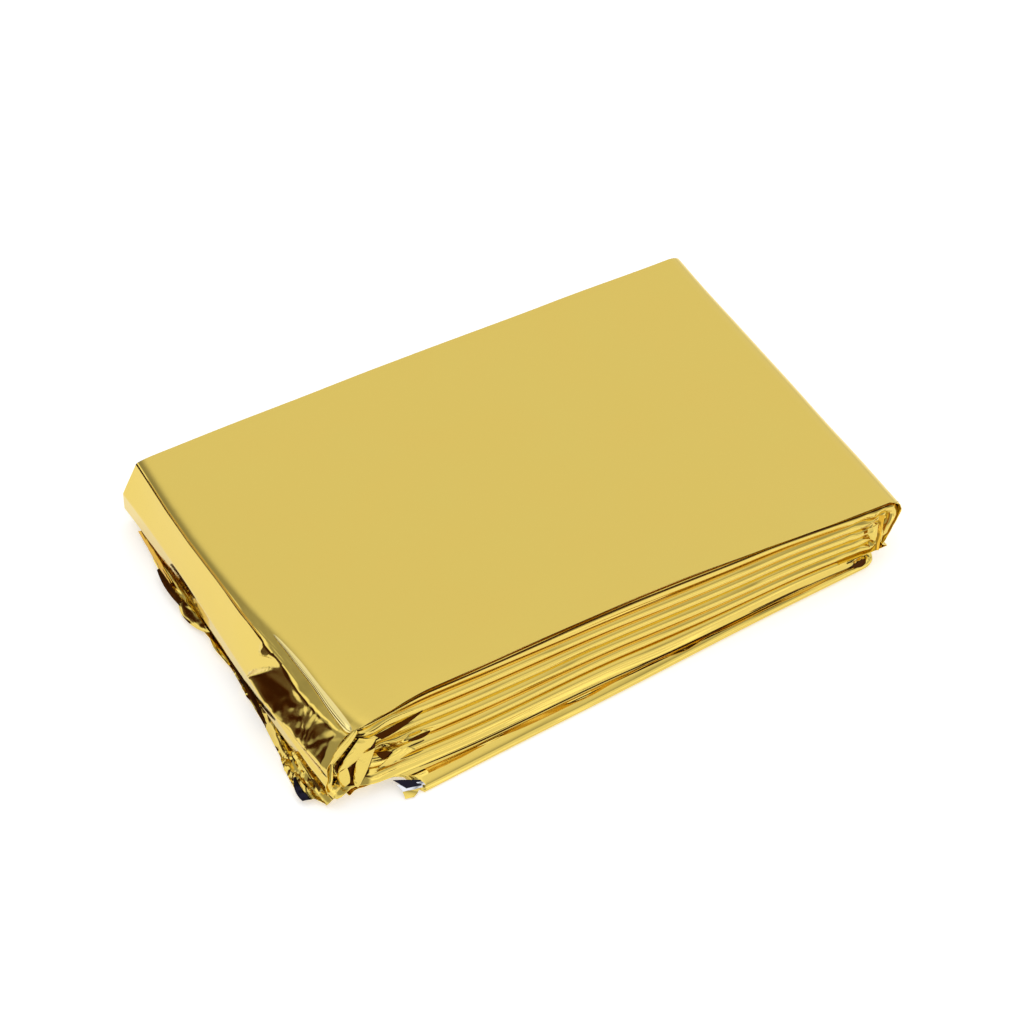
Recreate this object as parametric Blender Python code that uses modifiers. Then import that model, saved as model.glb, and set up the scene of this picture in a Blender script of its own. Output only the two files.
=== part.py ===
"""Emergency foil blanket, folded flat into a packet.

The blanket is one sheet of metallised film. It is folded lengthwise into a strip as wide as the
packet, and the strip is then folded back and forth, so each layer modelled here is a bundle of
plies. The strip starts at a free end under the packet, runs right, turns back left, climbs the
left end as a leaning flap, crosses the top, wraps down the right end and zigzags inside.

The strip is drawn as a regular section first, in millimetres, with X along the packet, Y from
front to back and Z up. It is then settled: the packet gets its wedge shape, its leaning ends, the
raised ridge of the flap, the stepped front and the ruffled free end.
"""

import math
from collections import namedtuple

import bmesh
import bpy
import numpy as np

MM = 0.001

# The regular strip, mm.
PLY = 1.8                # thickness of one layer, a bundle of film
GAP = 0.35               # air between two layers
BOTTOM_GAP = 0.9         # the wider mouth above the bottom layer
HALF_WIDTH = 41.8        # half the strip's width, front to back
FREE_END = -66.0         # where the strip starts, under the flap
CORNER_LEFT = -57.0      # the bottom layer's turned corner lies between these two
CORNER_RIGHT = -49.0
LOOP_RIGHT = 55.0        # centre line of the small loop at the bottom right
FLAP_LEFT = -60.1        # centre line of the flap at the left end
WRAP_RIGHT = 60.4        # centre line of the wrap at the right end
INNER_LEFT = -58.0       # turns of the layers inside
INNER_RIGHT = 56.5
INNER_END = 54.0         # where the strip stops, inside
DENT_END = -47.0         # the top layer is flat to the right of this
RIDGE_RADIUS = 1.1       # tight fold between flap and top
LIP_RADIUS = 1.5         # fold under the flap, and at the foot of the wrap
SHOULDER_RADIUS = 3.2    # soft fold at the top right
DEPTH_STATIONS = 11      # cross sections from front to back, closer together at the front
DEPTH_EASE = 1.5
RIM_ROUNDING = 0.5       # rounding of the layers' long edges

# Centre heights of the layers in the regular section, bottom to top.
BOTTOM = PLY / 2
BAND = BOTTOM + PLY + BOTTOM_GAP
PITCH = PLY + GAP
SECOND, THIRD, FOURTH, FIFTH, TOP = (BAND + PITCH * k for k in range(1, 6))
HEIGHT = TOP + PLY / 2

# The origin is the middle of the packet's box, at this place of the regular strip, mm.
BOX_MIDDLE = (-4.8, -4.2)

# The packet's thickness along X, at its front and its back edge.
Thickness = namedtuple("Thickness", "x front back")
THICKNESS = (
    Thickness(-62.0, 15.1, 13.9),
    Thickness(-30.0, 15.1, 14.0),
    Thickness(0.0, 15.2, 13.8),
    Thickness(30.0, 14.6, 13.2),
    Thickness(60.0, 13.0, 12.5),
)

# Y of the stacked front edges, by height in the regular section and by place along X.
Front = namedtuple("Front", "z corner left middle right")
FRONT_AT = (-60.0, -42.0, 0.0, 48.0)
FRONT_EDGES = (
    Front(BAND - PLY / 2, -46.0, -46.0, -43.9, -41.3),
    Front(BAND + PLY / 2, -44.6, -44.8, -42.9, -41.0),
    Front(TOP - PLY / 2, -42.0, -41.1, -40.8, -40.2),
    Front(TOP + PLY / 2, -42.0, -39.9, -38.8, -39.2),
)

# Plan of the bottom layer's front edge: it stands out to the left and ends in a turned corner.
# The edge slants, so its foot stands out further than its upper rim.
Edge = namedtuple("Edge", "x y")
BOTTOM_FRONT = (
    Edge(-70.0, -41.0),
    Edge(-66.0, -42.8),
    Edge(-56.5, -43.2),
    Edge(-54.8, -50.2),
    Edge(-49.3, -50.6),
    Edge(55.0, -41.2),
)
BOTTOM_SLANT = 0.25      # share of that step that the upper rim stays behind
BOTTOM_REACH = (15.0, HALF_WIDTH)    # the step fades in between these, forward of the middle
FRONT_REACH = (20.0, HALF_WIDTH)     # and so do the other layers' steps
FREE_REACH = (52.0, -FREE_END)       # the free end's outline fades in, left of the middle

# Plan of the torn-looking free end under the flap.
FREE_EDGE = (
    Edge(-67.5, -44.0),
    Edge(-70.0, -40.5),
    Edge(-69.6, -34.0),
    Edge(-67.4, -19.5),
    Edge(-65.4, 4.0),
    Edge(-66.9, 15.0),
    Edge(-65.5, 28.0),
    Edge(-63.0, 36.0),
    Edge(-62.0, 42.0),
)

# Lean of the two ends, mm.
CREASE_FRONT = 5.2       # height of the flap's lower crease in the regular section
CREASE_BACK = 7.2
FLAP_LEAN_FRONT = 6.4    # how far the crease stands out past the ridge
FLAP_LEAN_BACK = 3.3
LIP_SLOPE = 0.35         # how fast the lip runs back in below the crease
FLAP_REACH = (40.0, 60.0)            # the lean fades in between these, left of the middle
WRAP_LEAN = 3.5          # how far the wrap is drawn in at its foot
WRAP_REACH = (30.0, 60.0)            # the same, right of the middle
RIDGE_FRONT = 0.7        # rise of the flap's upper edge
RIDGE_BACK = 0.2
RIDGE_WIDTH = 1.8
TROUGH_ENDS = 0.5        # depth of the dent beside the ridge, at the edges and between them
TROUGH_MIDDLE = 1.0
TROUGH_AT = 5.5          # distance of the dent from the ridge
TROUGH_WIDTH = 3.2
RUFFLE = 1.1             # lift of the ruffles in the free end
RUFFLE_LENGTHS = (11.4, 27.3)        # wave lengths of the ruffles, front to back
RUFFLE_REACH = (62.0, 67.0)          # they grow between these, left of the middle
FOIL_GOLD = (0.72, 0.55, 0.16, 1.0)


def smooth_ramp(value, start, end):
    """0 before start, 1 after end, and a smooth rise between them."""
    share = np.clip((value - start) / (end - start), 0.0, 1.0)
    return share * share * (3.0 - 2.0 * share)


def fillet(before, corner, after, radius, steps):
    """Points of an arc of this radius that rounds the corner between two straight runs."""
    before, corner, after = (np.array(p, float) for p in (before, corner, after))
    towards = (before - corner) / np.linalg.norm(before - corner)
    away = (after - corner) / np.linalg.norm(after - corner)
    half = math.acos(np.clip(towards @ away, -1.0, 1.0)) / 2
    centre = corner + (towards + away) / np.linalg.norm(towards + away) * radius / math.sin(half)
    start = corner + towards * radius / math.tan(half) - centre
    end = corner + away * radius / math.tan(half) - centre
    sweep = math.pi - 2 * half
    points = []
    for k in range(steps + 1):
        angle = sweep * k / steps
        turned = start * math.sin(sweep - angle) + end * math.sin(angle)
        points.append(centre + turned / math.sin(sweep))
    return points


def run_points(start, end, steps):
    """Points inside a straight run, without its two ends."""
    start, end = np.array(start, float), np.array(end, float)
    return [start + (end - start) * k / steps for k in range(1, steps)]


def section_corners():
    """Corners of the strip's centre line, each with its radius, arc steps and run steps after it."""
    turn = PITCH / 2
    loop = (BAND - BOTTOM) / 2
    return (
        ((FREE_END, BOTTOM), 0.0, 0, 3),
        ((CORNER_LEFT, BOTTOM), 0.0, 0, 3),
        ((CORNER_RIGHT, BOTTOM), 0.0, 0, 11),
        ((LOOP_RIGHT, BOTTOM), loop, 3, 1),
        ((LOOP_RIGHT, BAND), loop, 3, 9),
        ((FLAP_LEFT, BAND), LIP_RADIUS, 3, 5),
        ((FLAP_LEFT, TOP), RIDGE_RADIUS, 4, 7),
        ((DENT_END, TOP), 0.0, 0, 11),
        ((WRAP_RIGHT, TOP), SHOULDER_RADIUS, 4, 3),
        ((WRAP_RIGHT, SECOND), LIP_RADIUS, 3, 6),
        ((INNER_LEFT, SECOND), turn, 3, 1),
        ((INNER_LEFT, THIRD), turn, 3, 6),
        ((INNER_RIGHT, THIRD), turn, 3, 1),
        ((INNER_RIGHT, FOURTH), turn, 3, 6),
        ((INNER_LEFT, FOURTH), turn, 3, 1),
        ((INNER_LEFT, FIFTH), turn, 3, 6),
        ((INNER_END, FIFTH), 0.0, 0, 0),
    )


def section_points():
    """The regular centre line: straight runs joined by arcs, as a list of X and Z in mm."""
    corners = section_corners()
    points = [np.array(corners[0][0], float)]
    for index in range(1, len(corners)):
        steps = corners[index - 1][3]
        corner, radius, arc_steps, _ = corners[index]
        if radius:
            arc = fillet(corners[index - 1][0], corner, corners[index + 1][0], radius, arc_steps)
        else:
            arc = [np.array(corner, float)]
        if steps > 1:
            points += run_points(points[-1], arc[0], steps)
        points += [p for p in arc if np.linalg.norm(p - points[-1]) > 0.01]
    return points


def depth_stations():
    """Y of each cross section, front to back."""
    shares = (np.arange(DEPTH_STATIONS) / (DEPTH_STATIONS - 1)) ** DEPTH_EASE
    return (2 * shares - 1) * HALF_WIDTH


def strip_surface(name):
    """The section's line, extruded from front to back in a few stations, as an open surface."""
    shape = bmesh.new()
    row = [shape.verts.new((x * MM, -HALF_WIDTH * MM, z * MM)) for x, z in section_points()]
    edges = [shape.edges.new(pair) for pair in zip(row, row[1:])]
    for step in np.diff(depth_stations()):
        grown = bmesh.ops.extrude_edge_only(shape, edges=edges)["geom"]
        fresh = {item for item in grown if isinstance(item, bmesh.types.BMVert)}
        edges = [item for item in grown if isinstance(item, bmesh.types.BMEdge)]
        edges = [edge for edge in edges if fresh.issuperset(edge.verts)]
        bmesh.ops.translate(shape, verts=list(fresh), vec=(0.0, step * MM, 0.0))
    mesh = bpy.data.meshes.new(name)
    shape.to_mesh(mesh)
    shape.free()
    return bpy.data.objects.new(name, mesh)


def thicken(strip):
    """Give the strip its thickness, and round the long edges of its layers."""
    shell = strip.modifiers.new("layer", "SOLIDIFY")
    shell.thickness = PLY * MM
    shell.offset = 0.0
    shell.use_even_offset = True
    rim = strip.modifiers.new("rounded rims", "BEVEL")
    rim.width = RIM_ROUNDING * MM
    rim.segments = 2
    rim.limit_method = "ANGLE"
    rim.angle_limit = math.radians(60)
    rim.use_clamp_overlap = False
    evaluated = strip.evaluated_get(bpy.context.evaluated_depsgraph_get())
    solid = bpy.data.meshes.new_from_object(evaluated)
    strip.modifiers.clear()
    strip.data = solid


def table(rows, column):
    """One column of a table of named rows, as an array."""
    return np.array([getattr(row, column) for row in rows])


def smooth_curve(value, keys, levels):
    """A curve that runs level through each key and eases from one to the next."""
    result = levels[0] + np.zeros_like(value)
    for k in range(len(keys) - 1):
        result = result + (levels[k + 1] - levels[k]) * smooth_ramp(value, keys[k], keys[k + 1])
    return result


def packet_thickness(x, y):
    """Real thickness over the plan: thick at the front left, thin at the back right."""
    front = smooth_curve(x, table(THICKNESS, "x"), table(THICKNESS, "front"))
    back = smooth_curve(x, table(THICKNESS, "x"), table(THICKNESS, "back"))
    return front + (back - front) * smooth_ramp(y, -HALF_WIDTH, HALF_WIDTH)


def above_bottom(z):
    """0 inside the bottom layer, 1 above its mouth."""
    return smooth_ramp(z, PLY, PLY + BOTTOM_GAP)


def bottom_edges(x, y, z):
    """Plan offsets of the bottom layer: its free end along X, and its front edge along Y."""
    low = 1.0 - above_bottom(z)
    end = np.interp(y, table(FREE_EDGE, "y"), table(FREE_EDGE, "x")) - FREE_END
    near_end = smooth_ramp(-x, *FREE_REACH)
    front = np.interp(x, table(BOTTOM_FRONT, "x"), table(BOTTOM_FRONT, "y")) + HALF_WIDTH
    slant = 1.0 - BOTTOM_SLANT * np.clip(z / PLY, 0.0, 1.0)
    near_front = smooth_ramp(-y, *BOTTOM_REACH)
    return end * near_end * low, front * slant * near_front * low


def front_steps(x, y, z):
    """How far the stacked front edges stand out, step by step from the top down."""
    heights = table(FRONT_EDGES, "z")
    columns = [np.interp(z, heights, table(FRONT_EDGES, name)) for name in Front._fields[1:]]
    edge = smooth_curve(x, FRONT_AT, columns)
    return (edge + HALF_WIDTH) * smooth_ramp(-y, *FRONT_REACH) * above_bottom(z)


def end_leans(x, y, z):
    """How the flap leans out to its crease, and the wrap is drawn in towards its foot."""
    back_share = smooth_ramp(y, -HALF_WIDTH, HALF_WIDTH)
    reach = FLAP_LEAN_FRONT + (FLAP_LEAN_BACK - FLAP_LEAN_FRONT) * back_share
    crease = CREASE_FRONT + (CREASE_BACK - CREASE_FRONT) * back_share
    lean = reach * np.clip((HEIGHT - z) / (HEIGHT - crease), 0.0, 1.0)
    lip = LIP_SLOPE * np.clip(crease - z, 0.0, None)
    flap = (lean - lip) * above_bottom(z) * smooth_ramp(-x, *FLAP_REACH)
    foot = np.clip((TOP - z) / (TOP - SECOND), 0.0, 1.0) * smooth_ramp(z, BAND, SECOND)
    wrap = WRAP_LEAN * foot * smooth_ramp(x, *WRAP_REACH)
    return -flap - wrap


def ridge_and_trough(x, y, z):
    """The raised fold along the flap's top edge, and the dent beside it."""
    upper = smooth_ramp(z, THIRD, HEIGHT)
    front_share = smooth_ramp(-y, -HALF_WIDTH, HALF_WIDTH)
    rise = RIDGE_BACK + (RIDGE_FRONT - RIDGE_BACK) * front_share
    ridge = rise * np.exp(-(((x - FLAP_LEFT) / RIDGE_WIDTH) ** 2))
    depth = TROUGH_MIDDLE + (TROUGH_ENDS - TROUGH_MIDDLE) * (y / HALF_WIDTH) ** 2
    trough = depth * np.exp(-(((x - FLAP_LEFT - TROUGH_AT) / TROUGH_WIDTH) ** 2))
    return (ridge - trough) * upper


def free_end_ruffles(x, y, z):
    """Upward ruffles that grow towards the free end of the bottom layer."""
    short, long = (np.sin(2 * math.pi * y / length + 1.0) for length in RUFFLE_LENGTHS)
    waves = (short + long) / 2
    return RUFFLE * waves ** 2 * smooth_ramp(-x, *RUFFLE_REACH) * (1.0 - above_bottom(z))


def settle(mesh):
    """Bend the regular packet into the settled one. The underside stays flat at Z = 0."""
    points = np.empty(len(mesh.vertices) * 3, dtype=np.float32)
    mesh.vertices.foreach_get("co", points)
    x, y, z = points.reshape(-1, 3).astype(float).T / MM
    end_x, front_y = bottom_edges(x, y, z)
    new_x = x + end_x + end_leans(x, y, z)
    new_y = y + front_y + front_steps(x, y, z)
    new_z = z * packet_thickness(x, y) / HEIGHT + ridge_and_trough(x, y, z)
    new_z += free_end_ruffles(new_x, new_y, z)
    settled = np.stack((new_x - BOX_MIDDLE[0], new_y - BOX_MIDDLE[1], new_z), axis=1) * MM
    mesh.vertices.foreach_set("co", settled.astype(np.float32).ravel())
    mesh.update()


def foil_material():
    """Gold side of the metallised film."""
    material = bpy.data.materials.new("gold metallised film")
    material.use_nodes = True
    shader = material.node_tree.nodes["Principled BSDF"]
    shader.inputs["Base Color"].default_value = FOIL_GOLD
    shader.inputs["Metallic"].default_value = 1.0
    shader.inputs["Roughness"].default_value = 0.18
    return material


def clear_scene():
    """Remove what the scene holds at the start."""
    for item in list(bpy.data.objects):
        bpy.data.objects.remove(item, do_unlink=True)


def build():
    """The whole blanket: one solid in its own collection."""
    clear_scene()
    home = bpy.data.collections.new("foil_blanket")
    bpy.context.scene.collection.children.link(home)
    blanket = strip_surface("foil_blanket")
    home.objects.link(blanket)
    thicken(blanket)
    settle(blanket.data)
    blanket.data.materials.clear()
    blanket.data.materials.append(foil_material())
    blanket.data.shade_smooth()
    blanket.data.set_sharp_from_angle(angle=math.radians(40))


build()
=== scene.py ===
# %% [markdown]
# # An emergency foil blanket, folded into a packet
# The real thing is one sheet of very thin plastic film with a metal coating, gold on one side and
# silver on the other. It is folded lengthwise into a long strip, and the strip is folded back and
# forth into a packet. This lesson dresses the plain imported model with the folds, creases and
# mirror gloss of that film.

# %% Load the frame
import math
import bpy
import numpy as np
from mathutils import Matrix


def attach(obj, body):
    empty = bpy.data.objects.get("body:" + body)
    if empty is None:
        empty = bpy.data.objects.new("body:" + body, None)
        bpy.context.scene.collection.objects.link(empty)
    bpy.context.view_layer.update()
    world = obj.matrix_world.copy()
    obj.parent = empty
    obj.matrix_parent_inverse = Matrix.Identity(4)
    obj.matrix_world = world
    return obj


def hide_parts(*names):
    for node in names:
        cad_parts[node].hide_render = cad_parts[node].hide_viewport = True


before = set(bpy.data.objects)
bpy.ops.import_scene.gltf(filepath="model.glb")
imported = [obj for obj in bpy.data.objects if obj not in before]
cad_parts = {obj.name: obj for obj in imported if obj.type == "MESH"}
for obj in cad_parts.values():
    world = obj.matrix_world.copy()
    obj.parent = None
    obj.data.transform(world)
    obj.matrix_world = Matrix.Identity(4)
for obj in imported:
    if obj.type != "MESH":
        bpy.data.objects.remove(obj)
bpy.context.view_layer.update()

# %% [markdown]
# ## Working sizes
# Everything is drawn first as a regular packet, in millimetres: X along its length, Y from front
# to back, Z up through the layers. Each modelled layer is a bundle of many plies of film, 1.8 mm
# thick. The sizes are those of the plain model, apart from where the inner layers and the bottom
# one turn.

# %% Sizes of the regular packet, mm
MM = 0.001
PLY = 1.8  # thickness of one layer, a bundle of film
GAP = 0.35  # air between two layers
BOTTOM_GAP = 0.9  # the wider mouth above the bottom layer
HALF_WIDTH = 41.8  # half the strip's width
FREE_END = -66.0  # where the strip starts, under the flap
LOOP_RIGHT = 53.3  # where the bottom layer turns back
FLAP_LEFT = -60.1  # the flap at the left end, and the wrap at the right end
WRAP_RIGHT = 60.4
INNER_LEFT = -58.4  # turns of the layers inside, and where the strip stops
INNER_RIGHT = 58.2
INNER_END = 59.0
RIDGE_RADIUS = 1.1  # fold between flap and top
LIP_RADIUS = 1.5  # fold under the flap, and at the foot of the wrap
SHOULDER_RADIUS = 3.2  # soft fold at the top right
BOTTOM = PLY / 2
BAND = BOTTOM + PLY + BOTTOM_GAP
PITCH = PLY + GAP
SECOND, THIRD, FOURTH, FIFTH, TOP = (BAND + PITCH * k for k in range(1, 6))
HEIGHT = TOP + PLY / 2
BOX_MIDDLE = (-4.8, -4.2)  # the place in X and Y that becomes the model's origin
print("packet height in the regular section, mm:", round(HEIGHT, 2))

# %% [markdown]
# ## Small helpers for curves and noise
# A folded film is full of smooth ramps, rounded ridges and sharp creases. A few short functions
# give all of them, each on whole arrays at once. The noise is a sum of sine waves with seeded
# directions, so it is the same at each run.

# %% Helpers for curves and noise
def smooth_ramp(value, start, end):
    """0 before start, 1 after end; between them 3 t squared minus 2 t cubed."""
    share = np.clip((value - start) / (end - start), 0.0, 1.0)
    return share * share * (3.0 - 2.0 * share)


def smooth_curve(value, keys, levels):
    """Level through each key, with a smooth ramp from one key to the next."""
    result = levels[0] + np.zeros_like(value)
    for k in range(len(keys) - 1):
        result = result + (levels[k + 1] - levels[k]) * smooth_ramp(value, keys[k], keys[k + 1])
    return result


def bump(value, centre, width):
    """A bell: e to the minus square of the distance from centre over width."""
    return np.exp(-(((value - centre) / width) ** 2))


def waves(a, b, size, seed, count=7):
    """Soft noise around 0: the sum of sines over a and b, over the root of their count."""
    draw = np.random.default_rng(seed)
    angles = draw.uniform(0.0, 2 * math.pi, count)
    lengths = size * draw.uniform(0.6, 1.6, count)
    phases = draw.uniform(0.0, 2 * math.pi, count)
    along = np.multiply.outer(a, np.cos(angles)) + np.multiply.outer(b, np.sin(angles))
    return np.sin(2 * math.pi * along / lengths + phases).sum(axis=-1) / math.sqrt(count)


def creases(a, b, size, seed, count=5, warp=0.35):
    """Sharp folds around 0: zigzag waves, summed like waves, whose lines are bent by soft noise."""
    draw = np.random.default_rng(seed)
    angles = draw.uniform(0.0, math.pi, count)
    lengths = size * draw.uniform(0.7, 1.5, count)
    phases = draw.uniform(0.0, 1.0, count)
    bent_a = a + warp * size * waves(a, b, 2.2 * size, seed + 1)
    bent_b = b + warp * size * waves(a, b, 2.2 * size, seed + 2)
    along = np.multiply.outer(bent_a, np.cos(angles)) + np.multiply.outer(bent_b, np.sin(angles))
    turns = along / lengths + phases
    zigzag = 4 * np.abs(turns - np.floor(turns + 0.5)) - 1
    return zigzag.sum(axis=-1) / math.sqrt(count)


print("noise range:", np.ptp(waves(np.linspace(0, 50, 99), np.zeros(99), 8.0, 1)).round(2))

# %% [markdown]
# ## How the packet settles
# A real packet is thick at the front left and thin at the right, its left end leans out as a flap,
# its front edges are stepped, and the bottom layer spreads out under the rest. All of this is one
# bending of space, from the regular packet to the settled one. The layers, the outer film and the
# gaps go through it, and so stay fitted to each other. Leaves, rolls and the ragged end are placed
# in the settled packet.

# %% Tables of the settled shape, mm
# Thickness of the packet over X, then the stacked front edges: a row of places along Y for the
# heights, at each X. Each pair named REACH gives where a form fades in, in mm from the middle.
THICKNESS_AT = (-62.0, -30.0, 0.0, 30.0, 60.0)
THICKNESS_FRONT = (15.1, 15.1, 15.2, 14.6, 13.0)
THICKNESS_BACK = (13.9, 14.0, 13.8, 13.2, 12.5)
THIRDS_AT = (-50.0, 0.0, 48.0)  # left, middle and right of the front, for tables along X
FRONT_AT = (-60.0, -42.0, 0.0, 48.0)
FRONT_HEIGHTS = (BAND - PLY / 2, BAND + PLY / 2, TOP - PLY / 2, TOP + PLY / 2)
FRONT_PLACES = (
    (-46.0, -44.6, -42.0, -42.0),
    (-46.0, -44.8, -41.1, -39.9),
    (-43.9, -42.9, -40.8, -38.8),
    (-41.3, -41.0, -40.2, -39.2),
)
BOTTOM_FRONT = np.array((  # the bottom layer's front edge, as X and Y
    (-70.0, -41.0), (-66.0, -42.8), (-56.0, -43.4), (-51.6, -44.2), (-50.4, -50.6), (55.0, -41.2),
))
FREE_EDGE = np.array((  # the free end's outline, as X and Y
    (-67.5, -44.0), (-70.0, -40.5), (-69.6, -34.0), (-67.4, -19.5), (-65.4, 4.0),
    (-66.9, 15.0), (-65.5, 28.0), (-63.0, 36.0), (-62.0, 42.0),
))
BOTTOM_SLANT = 0.15  # share of its step that the bottom layer's upper rim stays behind
BOTTOM_REACH = (15.0, HALF_WIDTH)
FRONT_REACH = (20.0, HALF_WIDTH)
STEPPING = 0.8  # 0 for an even slope of the front, 1 for full steps at the layers
FREE_REACH = (52.0, 66.0)
CREASE_FRONT, CREASE_BACK = 5.8, 7.7  # height of the flap's lower crease
FLAP_LEAN_FRONT, FLAP_LEAN_BACK = 6.4, 3.3  # how far that crease stands out past the fold
LIP_SLOPE = 0.03  # how fast the lip runs back in below the crease
FLAP_REACH = (40.0, 60.0)
WRAP_LEAN = 5.2  # how far the wrap is drawn in at its foot
WRAP_REACH = (30.0, 60.0)
FOLD_SHIFT = np.array((  # place along Y, and how far the flap's fold is shifted along X
    (-42.5, -0.5), (-40.3, -1.3), (-36.7, -1.8), (-33.3, -2.1), (-29.0, -2.2), (-26.0, -2.1),
    (-20.0, -2.25), (-4.0, -2.3), (6.0, -2.0), (18.0, -1.8), (28.0, -1.3), (38.0, -0.5), (42.0, -0.2),
))
SHIFT_REACH = (50.0, 60.0)
DIP_DEPTH, DIP_LENGTH = 0.38, 1.8
DIP_SLOPE, DIP_WIDTH = 0.24, 3.2
DIP_STREAKS, STREAK_SPACING = 0.05, 0.9
FOLD_INSET = 0.6  # the dip's line lies this far outside the flap's line at the back
ROLL_AT = 1.3  # and this far inside it at the front, where the roll of film lies
ROLL_STARTS, ROLL_FULL = -10.0, 24.0
print("fold line measured at", len(FOLD_SHIFT), "places, free edge at", len(FREE_EDGE))


# %% Bend the regular packet into the settled one
def above_bottom(z):
    """0 inside the bottom layer, 1 above its mouth."""
    return smooth_ramp(z, PLY, PLY + BOTTOM_GAP)


def packet_thickness(x, y):
    """Thickness over the plan: the front and back curves along X, mixed by a ramp along Y."""
    front = smooth_curve(x, THICKNESS_AT, THICKNESS_FRONT)
    back = smooth_curve(x, THICKNESS_AT, THICKNESS_BACK)
    return front + (back - front) * smooth_ramp(y, -HALF_WIDTH, HALF_WIDTH)


def bottom_edges(x, y, z):
    """Offsets of the bottom layer's free end along X, and of its front edge along Y."""
    low = 1.0 - above_bottom(z)
    end = np.interp(y, FREE_EDGE[:, 1], FREE_EDGE[:, 0]) - FREE_END
    front = np.interp(x, BOTTOM_FRONT[:, 0], BOTTOM_FRONT[:, 1]) + HALF_WIDTH
    slant = 1.0 - BOTTOM_SLANT * np.clip(z / PLY, 0.0, 1.0)
    near_front = smooth_ramp(-y, *BOTTOM_REACH)
    return end * smooth_ramp(-x, *FREE_REACH) * low, front * slant * near_front * low


def front_steps(x, y, z):
    """How far the stacked front edges stand out: a table over height, eased along X. A sine turns
    the even slope of the table into soft steps, one for each layer."""
    turns = 2 * math.pi * (z - BAND) / PITCH
    stepped = z - STEPPING * PITCH / (2 * math.pi) * np.sin(turns) * (z > BAND)
    columns = [np.interp(stepped, FRONT_HEIGHTS, places) for places in FRONT_PLACES]
    edge = smooth_curve(x, FRONT_AT, columns)
    return (edge + HALF_WIDTH) * smooth_ramp(-y, *FRONT_REACH) * above_bottom(z)


def end_leans(x, y, z):
    """The flap leans out in a straight line down to its crease, and its lip drops from there. The
    measured fold line shifts the flap's upper part; the wrap draws in at its foot."""
    back_share = smooth_ramp(y, -HALF_WIDTH, HALF_WIDTH)
    reach = FLAP_LEAN_FRONT + (FLAP_LEAN_BACK - FLAP_LEAN_FRONT) * back_share
    crease = CREASE_FRONT + (CREASE_BACK - CREASE_FRONT) * back_share
    lean = reach * np.clip((HEIGHT - z) / (HEIGHT - crease), 0.0, 1.0)
    lip = LIP_SLOPE * np.clip(crease - z, 0.0, None)
    flap = (lean - lip) * above_bottom(z) * smooth_ramp(-x, *FLAP_REACH)
    shift = np.interp(y, FOLD_SHIFT[:, 0], FOLD_SHIFT[:, 1]) * smooth_ramp(-x, *SHIFT_REACH)
    shift = shift * np.clip((z - crease) / (HEIGHT - crease), 0.0, 1.0)
    foot = np.clip((TOP - z) / (TOP - SECOND), 0.0, 1.0) * smooth_ramp(z, BAND, SECOND)
    return shift - flap - WRAP_LEAN * foot * smooth_ramp(x, *WRAP_REACH)


def fold_dip(x, y, z):
    """The top dips towards a line as e to the minus distance, and slopes on beyond it with fine
    streaks. The line is the flap's fold at the back, and moves in towards the front."""
    line = FLAP_LEFT - FOLD_INSET + (ROLL_AT + FOLD_INSET) * smooth_ramp(-y, ROLL_STARTS, ROLL_FULL)
    inboard = x - line
    dip = DIP_DEPTH * np.exp(-np.clip(inboard, 0.0, None) / DIP_LENGTH)
    streaks = DIP_STREAKS * np.sin(2 * math.pi * inboard / STREAK_SPACING)
    streaks = streaks * smooth_ramp(-inboard, 0.0, 0.5)
    slope = DIP_SLOPE * np.clip(-inboard, 0.0, DIP_WIDTH)
    return (dip + streaks + slope) * smooth_ramp(z, THIRD, HEIGHT)


def settle(x, y, z):
    """The settled place, in mm from the model's origin, of regular points x, y, z."""
    end_x, front_y = bottom_edges(x, y, z)
    new_x = x + end_x + end_leans(x, y, z)
    new_y = y + front_y + front_steps(x, y, z)
    new_z = z * packet_thickness(x, y) / HEIGHT - fold_dip(x, y, z)
    return np.stack((new_x - BOX_MIDDLE[0], new_y - BOX_MIDDLE[1], new_z), axis=-1)


corner = settle(np.array([WRAP_RIGHT]), np.array([-HALF_WIDTH]), np.array([HEIGHT]))
print("front right corner of the top, mm:", corner.round(1))

# %% [markdown]
# ## Paths through the layers
# Seen from the front, the strip is a line that runs to and fro with round turns. A dense version
# of that line is worked out from its corners. Stations are then set along it: wide apart on the
# straight runs, and close together in the turns and near the ends, where the film is creased.

# %% Lines with rounded corners, and stations along them
LINE_STEP = 0.08


def straight(start, end):
    """Points from start to end, a small step apart."""
    start, end = np.array(start, float), np.array(end, float)
    count = max(2, int(np.linalg.norm(end - start) / LINE_STEP))
    return start + (end - start) * np.linspace(0.0, 1.0, count)[:, None]


def round_corner(before, corner, after, radius):
    """The arc of this radius that touches both straight runs at a corner."""
    before, corner, after = (np.array(p, float) for p in (before, corner, after))
    towards = (before - corner) / np.linalg.norm(before - corner)
    away = (after - corner) / np.linalg.norm(after - corner)
    half = math.acos(np.clip(towards @ away, -1.0, 1.0)) / 2
    centre = corner + (towards + away) / np.linalg.norm(towards + away) * radius / math.sin(half)
    start = corner + towards * radius / math.tan(half) - centre
    end = corner + away * radius / math.tan(half) - centre
    sweep = math.pi - 2 * half
    angle = np.linspace(0.0, sweep, max(6, int(sweep * radius / LINE_STEP)))[:, None]
    return centre + (start * np.sin(sweep - angle) + end * np.sin(angle)) / math.sin(sweep)


def rounded_line(corners):
    """Straight runs joined by arcs, through corners given as ((x, z), radius)."""
    parts = [np.array([corners[0][0]], float)]
    for before, here, after in zip(corners, corners[1:], corners[2:]):
        arc = round_corner(before[0], here[0], after[0], here[1])
        parts += [straight(parts[-1][-1], arc[0])[1:], arc[1:]]
    parts.append(straight(parts[-1][-1], corners[-1][0])[1:])
    return np.concatenate(parts)


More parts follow.
